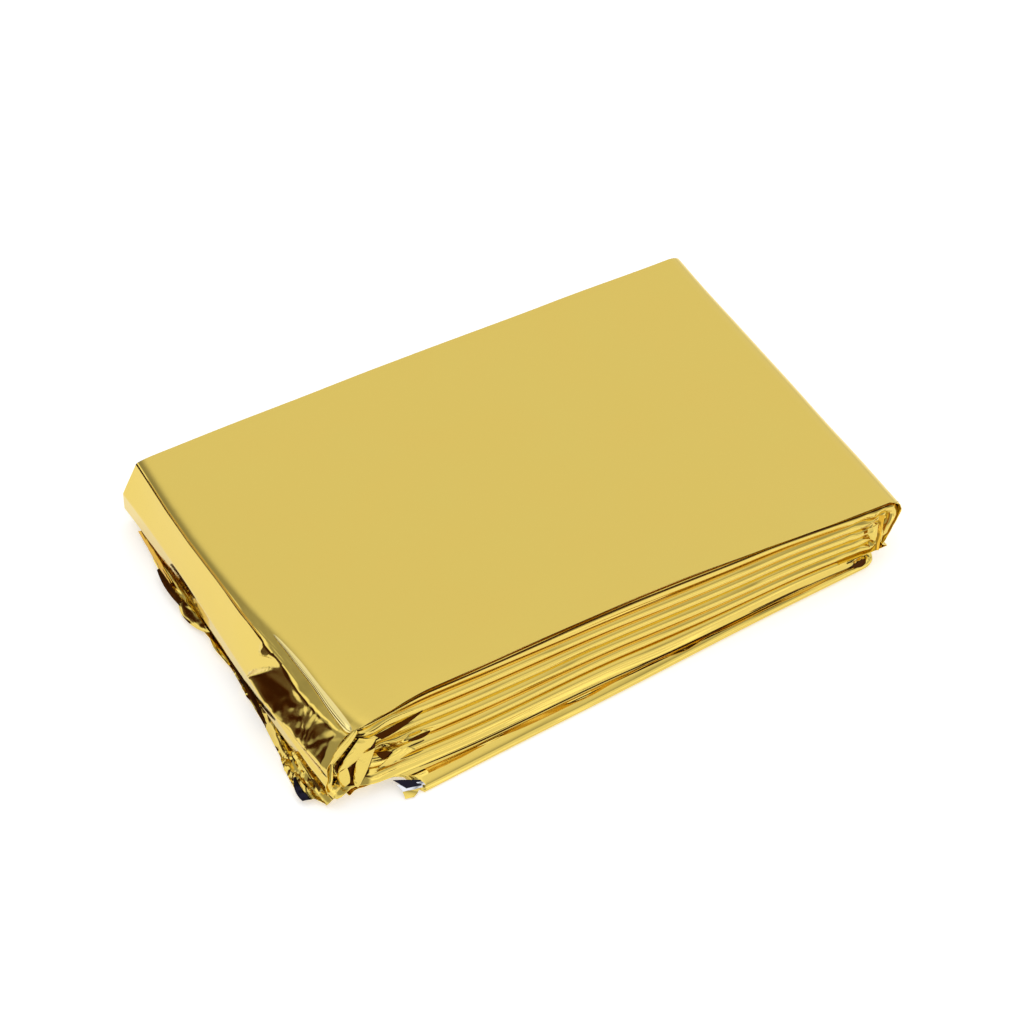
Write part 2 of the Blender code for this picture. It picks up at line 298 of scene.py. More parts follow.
def set_stations(line, run_spacing, turn_spacing, end_spacing, end_x):
    """Stations along a dense line: place, left-hand normal and distance walked, as arrays.

    The spacing is turn_spacing in arcs, end_spacing beyond end_x = (left, right), and
    run_spacing elsewhere; stations stand where the running sum of 1 / spacing is whole."""
    apart = np.linalg.norm(np.diff(line, axis=0), axis=1) > 1e-6
    line = line[np.concatenate(([True], apart))]
    steps = np.linalg.norm(np.diff(line, axis=0), axis=1)
    walked = np.concatenate(([0.0], np.cumsum(steps)))
    tangent = np.gradient(line, walked, axis=0)
    tangent /= np.linalg.norm(tangent, axis=1)[:, None]
    turning = np.linalg.norm(np.gradient(tangent, walked, axis=0), axis=1) > 0.08
    outside = (line[:, 0] < end_x[0]) | (line[:, 0] > end_x[1])
    spacing = np.where(turning, turn_spacing, np.where(outside, end_spacing, run_spacing))
    soft = np.convolve(np.pad(spacing, 15, mode="edge"), np.ones(31) / 31, mode="valid")
    number = np.concatenate(([0.0], np.cumsum(steps / soft[1:])))
    wanted = np.linspace(0.0, number[-1], int(number[-1]) + 1)
    pick = [np.interp(wanted, number, column) for column in (*line.T, *tangent.T, walked)]
    place = np.stack(pick[:2], axis=1)
    normal = np.stack((-pick[3], pick[2]), axis=1)
    return place, normal / np.linalg.norm(normal, axis=1)[:, None], pick[4]


TURN = PITCH / 2
MOUTH = (BAND - BOTTOM) / 2
strip_line = rounded_line((
    ((FREE_END + 2.5, BOTTOM), 0), ((LOOP_RIGHT, BOTTOM), MOUTH), ((LOOP_RIGHT, BAND), MOUTH),
    ((FLAP_LEFT, BAND), LIP_RADIUS), ((FLAP_LEFT, TOP), RIDGE_RADIUS),
    ((WRAP_RIGHT, TOP), SHOULDER_RADIUS), ((WRAP_RIGHT, SECOND), LIP_RADIUS),
    ((INNER_LEFT, SECOND), TURN), ((INNER_LEFT, THIRD), TURN),
    ((INNER_RIGHT, THIRD), TURN), ((INNER_RIGHT, FOURTH), TURN),
    ((INNER_LEFT, FOURTH), TURN), ((INNER_LEFT, FIFTH), TURN), ((INNER_END, FIFTH), 0),
))
strip_place, strip_normal, strip_walked = set_stations(strip_line, 1.7, 0.34, 0.8, (-44.0, 48.0))
print("strip stations:", len(strip_place), "length, mm:", strip_walked[-1].round(1))

# %% [markdown]
# ## Turning arrays into meshes
# Two kinds of surface are enough. A bundle is a closed outline carried along a path, with its two
# ends capped. A single film is a grid of points that gets a small thickness, so it is a closed
# shell too. Both count their own faces, and a shell that comes out inside out is turned round.

# %% Mesh builders
FILM = 0.14  # drawn thickness of a single film, mm: coarser than real, so that it shows
SHARP = math.radians(38)


def outward(points, faces):
    """The faces, reversed where the volume they enclose comes out negative."""
    a, b, c = (points[faces[:, k]] for k in range(3))
    d = points[faces[:, -1]]
    volume = (a * np.cross(b, c)).sum() + (a * np.cross(c, d)).sum()
    return faces[:, ::-1] if volume < 0 else faces


def add_mesh(name, points, faces, material, sharp=SHARP):
    """An object whose mesh has these points, in mm, and these faces of four corners."""
    mesh = bpy.data.meshes.new(name)
    mesh.from_pydata((points * MM).tolist(), [], outward(points, faces).tolist())
    mesh.validate()
    mesh.shade_smooth()
    mesh.set_sharp_from_angle(angle=sharp)
    mesh.materials.append(material)
    piece = bpy.data.objects.new(name, mesh)
    bpy.context.scene.collection.objects.link(piece)
    print(name, "triangles:", 2 * len(faces))
    return piece


def quads(rows, columns, close_columns):
    """Corner numbers of each face between neighbours of a grid of rows and columns."""
    row = np.arange(rows - 1)[:, None]
    column = np.arange(columns if close_columns else columns - 1)[None, :]
    following = (column + 1) % columns
    corners = (row * columns + column, row * columns + following,
               (row + 1) * columns + following, (row + 1) * columns + column)
    return np.stack([np.broadcast_to(c, (rows - 1, column.size)) for c in corners], -1).reshape(-1, 4)


def carried_loop(name, loops, material, sharp=SHARP):
    """A bundle: loops is rows of closed outlines. Each end is capped by a strip of faces across."""
    rows, columns = loops.shape[:2]
    faces = [quads(rows, columns, True)]
    half = columns // 2
    near = np.arange(half - 1)
    far = columns - 1 - near
    cap = np.stack((near, near + 1, far - 1, far), axis=-1)
    faces += [cap[:, ::-1], cap + (rows - 1) * columns]
    return add_mesh(name, loops.reshape(-1, 3), np.concatenate(faces), material, sharp)


def grid_normals(points):
    """Unit normals of a grid of points, from the cross product of its two slopes."""
    across = np.cross(np.gradient(points, axis=0), np.gradient(points, axis=1))
    return across / np.maximum(np.linalg.norm(across, axis=-1, keepdims=True), 1e-9)


def film_shell(name, points, material, sharp=SHARP):
    """A single film: the grid moved half a film's thickness each way along its normals, rims joined."""
    rows, columns = points.shape[:2]
    shift = grid_normals(points) * FILM / 2
    both = np.concatenate(((points + shift).reshape(-1, 3), (points - shift).reshape(-1, 3)))
    count = rows * columns
    face = quads(rows, columns, False)
    number = np.arange(count).reshape(rows, columns)
    rim = np.concatenate((number[0], number[1:, -1], number[-1, -2::-1], number[-2:0:-1, 0]))
    following = np.roll(rim, -1)
    side = np.stack((rim, following, following + count, rim + count), axis=-1)
    return add_mesh(name, both, np.concatenate((face, face[:, ::-1] + count, side[:, ::-1])),
                    material, sharp)


# %% [markdown]
# ## The finishes
# The film is polyester about a hundredth of a millimetre thick, coated with aluminium vapour and
# tinted gold. The eye sees a mirror with a soft haze: whatever it reflects once comes back pale
# gold, and what bounces again between two folds comes back deeper, towards orange and brown. So
# the finish is a tinted metal with low roughness, with a clear coat for the plastic face.

# %% Materials
def linear(hex_colour):
    """An sRGB hex colour as linear RGBA."""
    channels = [int(hex_colour[k:k + 2], 16) / 255 for k in (1, 3, 5)]
    return [c / 12.92 if c <= 0.04045 else ((c + 0.055) / 1.055) ** 2.4 for c in channels] + [1.0]


def add_node(tree, kind, settings=(), links=()):
    """A node of this kind, with its properties or input values set and its inputs linked."""
    node = tree.nodes.new(kind)
    for name, value in dict(settings).items():
        if isinstance(name, str) and hasattr(node, name):
            setattr(node, name, value)
        else:
            node.inputs[name].default_value = value
    for name, source in dict(links).items():
        tree.links.new(source, node.inputs[name])
    return node


def film_finish(name, colour, second_colour, roughness, coat=0.25):
    """Metallised film: two close tints mixed in broad clouds, a soft haze, and fine crinkles.

    Clouds are 14 mm across, the haze varies over 5 mm, and the crinkles are 1.6 mm across."""
    material = bpy.data.materials.new(name)
    material.use_nodes = True
    tree = material.node_tree
    shader = tree.nodes["Principled BSDF"]
    shader.inputs["Metallic"].default_value = 1.0
    shader.inputs["Coat Weight"].default_value = coat
    shader.inputs["Coat Roughness"].default_value = 0.06
    place = add_node(tree, "ShaderNodeTexCoord").outputs["Object"]
    cloud = add_node(tree, "ShaderNodeTexNoise", {"Scale": 1 / (14 * MM), "Detail": 2.0},
                     {"Vector": place})
    tint = add_node(tree, "ShaderNodeMix",
                    {"data_type": "RGBA", 6: linear(colour), 7: linear(second_colour)},
                    {0: cloud.outputs["Fac"]})
    haze = add_node(tree, "ShaderNodeTexNoise", {"Scale": 1 / (5 * MM), "Detail": 3.0},
                    {"Vector": place})
    rough = add_node(tree, "ShaderNodeMapRange", {"To Min": roughness * 0.8, "To Max": roughness * 1.25},
                     {"Value": haze.outputs["Fac"]})
    crinkle = add_node(tree, "ShaderNodeTexNoise",
                       {"Scale": 1 / (1.6 * MM), "Detail": 1.0, "Roughness": 0.5}, {"Vector": place})
    relief = add_node(tree, "ShaderNodeBump", {"Strength": 0.05, "Distance": 0.1 * MM},
                      {"Height": crinkle.outputs["Fac"]})
    tree.links.new(tint.outputs[2], shader.inputs["Base Color"])
    tree.links.new(rough.outputs["Result"], shader.inputs["Roughness"])
    tree.links.new(relief.outputs["Normal"], shader.inputs["Normal"])
    return material


# The gold face gives a warm mirror with a haze; the bare face gives a cool, crisper one.
gold_film = film_finish("gold metallised film", "#DFC662", "#E1C460", 0.10)
silver_film = film_finish("silver metallised film", "#DADCE2", "#CFD2DA", 0.08)
# The roll's film gets a paler tint, a painted highlight. Deep in a fold the light bounces many times:
# the eye sees the gold go to amber and then to brown, and the silver to a blue black. The drawn film is
# too coarse to do that, so these tints paint it: amber for light bounced in an open fold, brown and blue
# black for painted deep shade.
gold_painted_highlight = film_finish("gold film with a painted highlight", "#F2E198", "#EEDA88", 0.14)
gold_painted_bounce_light = film_finish("gold film with painted amber bounce light", "#DDB040", "#D0A030", 0.16, 0.0)
gold_painted_deep_shade = film_finish("gold film in painted deep shade", "#4A2606", "#2E1402", 0.25, 0.0)
silver_painted_deep_shade = film_finish("silver film in painted deep shade", "#22202C", "#181620", 0.16, 0.0)
print("materials:", [material.name for material in bpy.data.materials])

# %% [markdown]
# ## The folded strip
# The strip's front shows the long folds of its plies: one soft bright ridge for each bundle, with
# fine grooves between the plies. Its outline across is a flat bar with rounded edges. That
# outline is carried along the path of the layers; the grooves wander slowly on the way, and the
# flat band near the bottom keeps a squarer edge than the others.

# %% Outline of the strip at each station
EDGE_POINTS = 34
FACE_SHARES = np.linspace(0.0, 1.0, 26) ** 1.7
NEARLY_TOUCHING = PITCH / 2 - 0.012
BACK_ROUNDING = 0.6
RIM_REACH = 1.6  # a rim's height dies away into the flat face over this distance, mm


def rounded_edge(power, count):
    """Height (1 to -1, as a sine) and inset (0 to 1) of an edge: inset = height to this power."""
    height = np.sin(np.linspace(math.pi / 2, -math.pi / 2, count))
    return height + 0 * power[:, None], np.abs(height) ** power[:, None]


def ply_grooves(height, walked, seed, count=3):
    """Depth of the grooves between plies: narrow bells at heights that wander along the strip."""
    draw = np.random.default_rng(seed)
    total = np.zeros(height.shape)
    for k in range(count):
        middle = -0.55 + 1.1 * k / (count - 1)
        drift = 0.16 * np.sin(2 * math.pi * walked / draw.uniform(40, 90) + draw.uniform(0, 6))
        depth = 0.03 + 0.03 * np.sin(2 * math.pi * walked / draw.uniform(25, 60) + draw.uniform(0, 6))
        total += depth[:, None] * bump(height, (middle + drift)[:, None], 0.16)
    return total


def strip_outlines(walked, power, inset_above, inset_below, high, low):
    """Closed outlines (y, w) of the strip: top face, front edge, bottom face, back edge.

    Each number is given per station: the edge's power, how far the upper and lower rims stand
    back from the nose, and how high and low those rims are."""
    height, inset = rounded_edge(power, EDGE_POINTS)
    wander = 0.06 * np.sin(walked / 9.1 + 1.0) + 0.08 * np.sin(walked / 17.7)
    depth = np.where(height > 0, inset_above[:, None], inset_below[:, None])
    front_y = -HALF_WIDTH - wander[:, None] + depth * inset + ply_grooves(height, walked, 5)
    front_w = height * np.where(height > 0, high[:, None], low[:, None])
    back_height, back_inset = rounded_edge(power, EDGE_POINTS // 2)
    back_y = HALF_WIDTH + 0.6 * wander[::-1, None] - BACK_ROUNDING * back_inset
    back_w = back_height * PLY / 2
    face = FACE_SHARES[1:-1]
    top_y = back_y[:, :1] + (front_y[:, :1] - back_y[:, :1]) * (1 - face[::-1])
    low_y = front_y[:, -1:] + (back_y[:, -1:] - front_y[:, -1:]) * face
    top_w = PLY / 2 + (high[:, None] - PLY / 2) * np.exp(-(top_y - front_y[:, :1]) / RIM_REACH)
    low_w = PLY / 2 + (low[:, None] - PLY / 2) * np.exp(-(low_y - front_y[:, -1:]) / RIM_REACH)
    y = np.concatenate((top_y, front_y, low_y, back_y[:, ::-1]), axis=1)
    w = np.concatenate((top_w, front_w, -low_w, back_w[:, ::-1]), axis=1)
    return y, w


def layer_share(place, level):
    """1 where the path runs within 0.2 mm of this level, 0 beyond 0.7 mm above or below it."""
    return 1.0 - smooth_ramp(np.abs(place[:, 1] - level), 0.2, 0.7)


# %% Hollows and creases of the strip's front
# Each hollow: place along X and Z, half width in X and Z, and depth, all in mm.
HOLLOWS = (
    (-46.5, 12.2, 4.4, 0.8, 0.6), (-50.2, 7.5, 1.9, 0.75, 3.0), (-42.8, 7.9, 2.4, 0.35, 1.4),
    (-57.0, 8.0, 2.6, 5.0, 4.2),
    (57.0, 2.6, 1.9, 0.7, 1.8), (62.6, 11.0, 1.3, 0.7, 0.5), (59.8, 7.5, 0.7, 2.4, 1.4),
)
CREASED_IN, CREASED_UP = 0.22, 0.15


def crumple_corners(points):
    """Settled points whose front edges are pressed in at the hollows and creased near the ends.

    The push inwards is a sum of bells; the creases fade in beyond 44 mm left and 50 mm right."""
    x, y, z = np.moveaxis(points, -1, 0)
    edge = smooth_ramp(-y, 26.0, 36.0)
    push = np.zeros_like(x)
    for middle_x, middle_z, width_x, width_z, depth in HOLLOWS:
        push += depth * bump(x, middle_x, width_x) * bump(z, middle_z, width_z)
    ends = np.maximum(smooth_ramp(-x, 44.0, 54.0), smooth_ramp(x, 50.0, 60.0))
    crumple = ends * smooth_ramp(z, 2.2, 4.5) * (1.0 - 0.8 * smooth_ramp(z, 12.0, 13.6)) * edge
    push += CREASED_IN * crumple * creases(x, 2.0 * z, 5.5, 31)
    lift = CREASED_UP * crumple * creases(x, 1.4 * z, 6.5, 47)
    return np.stack((x, y + push * edge, z + lift), axis=-1)


# %% Folded strip
on_band = layer_share(strip_place, BAND)
on_bottom = layer_share(strip_place, BOTTOM)
on_top = layer_share(strip_place, TOP)
nose = np.interp(strip_place[:, 0], THIRDS_AT, (1.5, 1.1, 0.8))
edge_power = 2.4 + 2.6 * on_band
inset_above = 1.0 - 0.7 * on_band + (nose - 1.0) * on_bottom
inset_below = 1.0 - 0.5 * on_band - 0.45 * on_bottom
top_rim = np.interp(strip_place[:, 0], THIRDS_AT, (0.5, 0.62, 0.78))
rim_above = NEARLY_TOUCHING + (top_rim - NEARLY_TOUCHING) * on_top + 0.1 * on_bottom + 0.2 * on_band
rim_below = NEARLY_TOUCHING - 0.165 * on_bottom
strip_y, strip_w = strip_outlines(strip_walked, edge_power, inset_above, inset_below,
                                  rim_above, rim_below)
strip_x = strip_place[:, :1] + strip_normal[:, :1] * strip_w
strip_z = strip_place[:, 1:] + strip_normal[:, 1:] * strip_w
strip_points = settle(strip_x, strip_y, strip_z)
strip_points = crumple_corners(strip_points)
strip_points[..., 2] = np.maximum(strip_points[..., 2], 0.0)
folded_strip = carried_loop("folded_strip", strip_points, gold_film, sharp=math.pi)

# %% [markdown]
# ## The outer film
# The outermost ply goes its own way: from under the flap, up the left end, over the top and down
# the right end. Its front edge stands free of the bundle, so a dark line shows under it: real shade
# in the gap, deepened by a bead of painted shade. It is one smooth grid: along the path and across
# the width, with the flap's creases near the front.

# %% Path and width of the outer film
FILM_OUT = PLY / 2 + 0.12  # the film lies this far from the middle of its layer
outer_line = rounded_line((
    ((-50.0, BAND - FILM_OUT), 0), ((FLAP_LEFT - FILM_OUT, BAND - FILM_OUT), 1.0),
    ((FLAP_LEFT - FILM_OUT, TOP + FILM_OUT), 0.35),
    ((WRAP_RIGHT + FILM_OUT, TOP + FILM_OUT), SHOULDER_RADIUS + 0.4),
    ((WRAP_RIGHT + FILM_OUT, SECOND - FILM_OUT), 2.0), ((48.0, SECOND - FILM_OUT), 0),
))
outer_place, outer_normal, outer_walked = set_stations(outer_line, 1.4, 0.12, 0.35, (-50.0, 54.0))
FILM_ACROSS = 150
FILM_OVERHANG = 0.25  # how far its front edge stands past the strip
FILM_WIDTH = 2 * HALF_WIDTH + 0.4
UNDER_INSET = 3.2  # and how far it stays back under the bundle
print("outer film stations:", len(outer_place), "by", FILM_ACROSS)
across = np.linspace(0.0, 1.0, FILM_ACROSS) ** 1.6
outer_y = -HALF_WIDTH - FILM_OVERHANG + FILM_WIDTH * across[None, :]
outer_y = outer_y + 0.12 * np.sin(outer_walked / 7.0)[:, None] * (1 - across)


def inset_under(place):
    """How far the film's front edge stays back where it runs under the bundle: a ramp over height."""
    return UNDER_INSET * (1.0 - smooth_ramp(place[:, 1], BAND - 0.85, BAND + 0.4))


# %% [markdown]
# ## Creases of the flap
# Near the front a patch of the flap leans back from a crisp slanted crease, so it reflects a dark
# part of the room and looks brown. In front of the patch wrinkles run up the flap, and one small
# dent lies behind it. All three are heights added to the film.

# %% Relief of the flap
# Places are along Y and Z in mm. The wrinkles run along lines of equal y + slant (z - 8).
PATCH_CREASE = (-13.2, 7.9, 0.905)  # the crease starts here, and its place per mm of height
PATCH_SWING = 0.085
LEAN_AT, LEANS = (-40.0, -30.0, -25.0, -13.0), (0.12, 0.18, 0.27, 0.27)  # slope leaning back
LEANS_BELOW, DENTS_BELOW = 15.4, 15.5
DENT_SLOPE = 0.42
LIP_STARTS, LIP_FADE = 6.9, 1.9  # the relief dies away over this height above the lip
WRINKLE_LINES = (-42.0, -39.0, -37.6, -34.6, -33.9, -32.4, -30.9, -30.3, -27.7, -27.1, -24.6, -23.9,
                 -22.1)
WRINKLE_HEIGHTS = (0.3, 0.38, 0.33, 0.47, 0.40, 0.50, 0.44, 0.36, 0.56, 0.46, 0.62, 0.52, 0.6)
SLANT_AT, SLANTS = (-40.0, -34.0, -28.0, -22.0), (0.98, 0.98, 0.8, 0.67)
DENT_AT, DENT_FOOT = (-17.7, -13.6, -13.0), (15.4, 13.3, 15.4)


def flap_relief(y, z):
    """How far the flap's film stands out, in mm.

    The patch grows with the distance from its crease, the wrinkles are a zigzag table over the
    slanted lines, and both lean back by a slope below the fold. They die away above the lip."""
    slant = np.interp(y, SLANT_AT, SLANTS)
    line = y + slant * (z - 8.0) + 0.3 * waves(y, z, 5.0, 14) * smooth_ramp(-y, 23.0, 28.0)
    start, foot, lean = PATCH_CREASE
    patch = PATCH_SWING * np.clip(start - y - lean * (z - foot), 0.0, None)
    wrinkles = np.interp(line, WRINKLE_LINES, WRINKLE_HEIGHTS)
    share = smooth_ramp(-line, 21.9, 22.3)
    behind = smooth_ramp(start - y - lean * (z - foot), 0.0, 0.7)
    leaning = np.interp(y, LEAN_AT, LEANS) * np.clip(LEANS_BELOW - z, 0.0, None) * behind
    wrinkles = wrinkles + 0.07 * creases(y, 0.45 * z, 3.2, 15) * smooth_ramp(-line, 22.3, 24.5)
    relief = patch + (wrinkles - patch) * share + leaning
    relief = relief * np.clip((z - LIP_STARTS) / LIP_FADE, 0.0, 1.0)
    edge = np.interp(y, DENT_AT, DENT_FOOT)
    dent = DENT_SLOPE * np.clip(DENTS_BELOW - z, 0.0, None) * smooth_ramp(z - edge, -0.5, 0.0)
    inside = (y > DENT_AT[0]) & (y < DENT_AT[2])
    return relief + np.where(inside, dent, 0.0)


# %% Outer film
one = np.ones_like(outer_y)
flat_top = smooth_ramp(outer_place[:, :1], FLAP_LEFT, FLAP_LEFT + 8.0)
near_flap = 1.0 - smooth_ramp(outer_place[:, :1], FLAP_LEFT - FILM_OUT + 0.3, FLAP_LEFT + 2.0)
stands_out = flap_relief(outer_y, outer_place[:, 1:] * one) * near_flap
lift = 0.05 * waves(outer_place[:, :1] * one, outer_y, 30.0, 3) * flat_top
outer_y = outer_y + inset_under(outer_place)[:, None] * (1 - across) ** 3
outer_x = outer_place[:, :1] + outer_normal[:, :1] * lift - stands_out
outer_z = outer_place[:, 1:] + outer_normal[:, 1:] * lift
outer_points = settle(outer_x, outer_y, outer_z)
outer_film = film_shell("outer_film", outer_points, gold_film)

# %% [markdown]
# ## Rolled edges of the flap
# Where the flap ends at the front, its film is folded back into a narrow roll, with a thinner one
# of the next ply behind it. Another roll lies on the top beside the flap's fold, and widens
# towards the front. Each is an oval outline carried along a smooth path.

# %% Rolled edges of the flap
CORNER_FACES = np.array((-0.557, -0.794, 0.243))  # the way that the front left corner faces
ROLL_STEPS, ROLL_SIDES = 90, 36


def smooth_path(points, count):
    """A path through the points: each coordinate is a cubic over the distance walked so far."""
    points = np.array(points, float)
    walked = np.concatenate(([0.0], np.cumsum(np.linalg.norm(np.diff(points, axis=0), axis=1))))
    wanted = np.linspace(0.0, walked[-1], count)
    return np.stack([np.polyval(np.polyfit(walked, c, 3), wanted) for c in points.T], axis=-1)


def rolled_edge(name, points, half_width, half_thick, facing, seed, material, groove_depth):
    """A flat oval carried along a path, its broad side facing one way, its ends tapered.

    The half width and half thickness are pairs, at the start and at the end of the path. A groove
    between two plies runs along it, as deep as this share of the thickness."""
    spine = smooth_path(points, ROLL_STEPS)
    tangent = np.gradient(spine, axis=0)
    tangent /= np.linalg.norm(tangent, axis=1)[:, None]
    broad = np.cross(tangent, facing)
    broad /= np.linalg.norm(broad, axis=1)[:, None]
    thick = np.cross(broad, tangent)
    angle = np.linspace(0.0, 2 * math.pi, ROLL_SIDES, endpoint=False)
    share = np.linspace(0.0, 1.0, ROLL_STEPS)
    ends = np.sqrt(np.clip(1.0 - np.abs(2 * share - 1.0) ** 14, 0.03, 1.0))
    sway = 1.0 + 0.10 * waves(share * 9.0, 0 * share, 5.0, seed)
    wide = ends * sway * (half_width[0] + (half_width[1] - half_width[0]) * share)
    deep = ends * (half_thick[0] + (half_thick[1] - half_thick[0]) * share)
    groove = 1.0 - groove_depth * bump(np.cos(angle), 0.25, 0.12)
    across = np.multiply.outer(wide, np.cos(angle))
    through = np.multiply.outer(deep, groove * np.sign(np.sin(angle)) * np.abs(np.sin(angle)) ** 0.7)
    loops = spine[:, None] + across[..., None] * broad[:, None] + through[..., None] * thick[:, None]
    return carried_loop(name, loops, material)


# Each roll: name, path, half widths, half thicknesses, the way it faces, seed, finish and groove.
ROLLS = (
    ("flap_hem", ((-55.3, -38.7, 15.5), (-57.2, -38.6, 13.0), (-60.1, -38.0, 9.5), (-62.5, -37.7, 5.6)),
     (0.6, 0.66), (0.2, 0.22), CORNER_FACES, 5, gold_film, 0.3),
    ("inner_hem", ((-55.9, -39.0, 14.0), (-57.6, -38.7, 11.7), (-59.1, -38.3, 9.6), (-61.4, -37.7, 5.9)),
     (0.22, 0.2), (0.14, 0.12), CORNER_FACES, 6, gold_film, 0.3),
    # The fold roll's paler tint is a painted highlight.
    ("fold_roll", ((-56.3, -8.8, 14.7), (-56.2, -14.8, 14.95), (-55.95, -18.8, 15.0),
                   (-55.95, -24.2, 15.0), (-56.3, -31.4, 15.0), (-56.2, -38.4, 15.05)),
     (0.32, 1.05), (0.3, 0.85), np.array((0.1, 0.0, 1.0)), 8, gold_painted_highlight, 0.05),
)
rolls = [rolled_edge(*row) for row in ROLLS]

# %% [markdown]
# ## Gaps that show as thin lines
# Between two plies that almost touch there is a gap too thin to see into. It shows as a thin line,
# brown where it is narrow and amber where it opens: under the front edge of the top, in some
# grooves between the ridges, along the mouth over the bottom layer, and along the flap's fold.
# Each is a fine bead in painted shade, in the tint of its depth, carried along its gap.

# %% Gap lines
BEAD_SIDES, GAP_STEPS = 14, 60
ALONG = (-58.0, 0.0, 60.0)


def bead(name, spine, axis, across, up, material):
    """Ovals carried along a spine, with half widths across, along X (axis 0) or Y (1), and up."""
    angle = np.linspace(0.0, 2 * math.pi, BEAD_SIDES, endpoint=False)
    loops = spine[:, None, :] * np.ones((1, BEAD_SIDES, 1))
    loops[..., axis] += np.multiply.outer(across, np.cos(angle))
    loops[..., 2] += np.multiply.outer(up, np.sin(angle))
    return carried_loop(name, loops, material)


# A gap line is a bead of painted shade: brown by default, amber where its gap opens.
def gap_line(name, x_ends, y, z, half_height, half_depth, seed, material=gold_painted_deep_shade, y_at=ALONG):
    """A bead from one X to another in the regular packet, bent with it and tapered at its ends.

    Its places y and z and its half height are tables of three values along X."""
    x = np.linspace(x_ends[0], x_ends[1], GAP_STEPS)
    spine = settle(x, np.interp(x, y_at, y), np.interp(x, ALONG, z))
    ends = np.sqrt(np.clip(1.0 - np.abs(np.linspace(-1, 1, GAP_STEPS)) ** 20, 0.03, 1.0))
    height = ends * np.interp(x, ALONG, half_height) * (1.0 + 0.15 * waves(x, 0 * x, 14.0, seed))
    return bead(name, spine, 1, ends * half_depth, height, material)


fold_y = np.linspace(40.5, -12.0, 120)
fold_size = np.interp(fold_y, (-12.0, -6.0, 20.0, 36.0, 40.5), (0.12, 0.24, 0.2, 0.12, 0.03))
still = np.zeros_like(fold_y)
fold_spine = settle(FLAP_LEFT - FILM_OUT + 0.25 + still, fold_y, TOP + FILM_OUT - 0.05 + still)
gap_lines = [
    bead("fold_line", fold_spine, 0, 0.8 * fold_size, fold_size, gold_painted_bounce_light),
    gap_line("gap_under_top", (-57.5, 60.5), (-42.1, -41.98, -41.9), (14.9, 15.0, 15.0),
             (0.22, 0.17, 0.1), 0.12, 21),
    gap_line("groove_under_top", (-50.0, 50.0), (-41.1, -41.15, -41.1),
             (TOP - TURN - 0.1, TOP - TURN, TOP - TURN), (0.34, 0.2, 0.08), 0.2, 22, gold_painted_bounce_light),
    gap_line("groove_second", (-44.0, 51.0), (-41.2, -41.15, -41.1), (FIFTH - TURN,) * 3,
             (0.1, 0.2, 0.2), 0.2, 26, gold_painted_bounce_light),
    gap_line("groove_above_band", (-44.0, 40.0), (-41.2, -41.15, -41.1), (THIRD - TURN,) * 3,
             (0.26, 0.2, 0.12), 0.2, 24, gold_painted_bounce_light),
    gap_line("gap_over_mouth", (-47.0, 52.0), (-41.75, -41.75, -41.7), (2.6, 2.5, 2.5),
             (0.14, 0.11, 0.05), 0.12, 23),
]

# %% [markdown]
# ## The mouth over the bottom layer
# Here the folds part, and the film inside shows as an amber band with fine streaks; the amber is
# painted bounced light. It is one grid along the mouth that climbs as it goes in, creased along its
# length, with a thin dark line of painted shade on either side.

# %% Film in the mouth
MOUTH_ROWS, MOUTH_COLUMNS = 130, 26


def bottom_shows(x):
    """How much of the bottom layer's top shows in front of the band: a table along X, in mm."""
    return np.interp(x, THIRDS_AT, (4.4, 2.2, 0.9))


mouth_x = np.linspace(-47.5, 51.5, MOUTH_ROWS)[:, None] * np.ones((1, MOUTH_COLUMNS))
mouth_share = np.linspace(0.22, 1.3, MOUTH_COLUMNS)[None, :]
mouth_share = mouth_share + 0.05 * waves(mouth_x, 0 * mouth_x, 16.0, 27)
mouth_y = -HALF_WIDTH + bottom_shows(mouth_x) * mouth_share
mouth_z = PLY + 0.2 + 0.65 * smooth_ramp(mouth_share, 0.35, 1.0)
mouth_z = mouth_z + 0.13 * creases(0.1 * mouth_x, 1.2 * mouth_y, 1.7, 28)
mouth_film = film_shell("mouth_film", settle(mouth_x, mouth_y, mouth_z), gold_painted_bounce_light)
gap_lines.append(
    gap_line("gap_in_mouth", (-47.0, 50.0), (-40.0, -40.95, -41.4), (1.95, 1.95, 1.9),
             (0.15, 0.1, 0.05), 0.12, 25, y_at=THIRDS_AT))

# %% [markdown]
# ## Crumpled leaves of film
# At the corners the plies do not turn neatly: they fan out in small bent leaves. Each leaf is a
# surface stretched between two curved sides, bowed across, and creased with zigzag noise.

# %% Leaf builder
LEAF_ROWS, LEAF_COLUMNS = 34, 22
LEAF_CREASE = 2.6  # distance between a leaf's creases, mm
BOW_TOWARDS = np.array((-0.3, -0.8, 0.5))  # leaves are bowed towards the front, left and up


def curve_through(points, share):
    """The parabola through three points, at shares from 0 to 1 of the way."""
    first, middle, last = (np.array(p, float) for p in points)
    t = share[:, None]
    return first * (1 - t) * (1 - 2 * t) + middle * 4 * t * (1 - t) + last * t * (2 * t - 1)


def leaf(name, left, right, bow, crumple, seed, material):
    """Straight lines between two parabolas, bowed by 4 v (1 - v), plus creases along the normal."""
    u, v = np.linspace(0, 1, LEAF_ROWS), np.linspace(0, 1, LEAF_COLUMNS)
    start, end = curve_through(left, u), curve_through(right, u)
    points = start[:, None] + (end - start)[:, None] * v[None, :, None]
    normal = grid_normals(points)
    if normal.mean(axis=(0, 1)) @ BOW_TOWARDS < 0:
        normal = -normal
    length = np.linalg.norm(np.array(left[2]) - np.array(left[0]))
    width = np.linalg.norm(np.array(right[1]) - np.array(left[1]))
    a, b = np.meshgrid(u * length, v * width, indexing="ij")
    height = bow * 4 * v * (1 - v) + crumple * creases(a, b, LEAF_CREASE, seed)
    return film_shell(name, points + normal * height[..., None], material, sharp=math.radians(30))
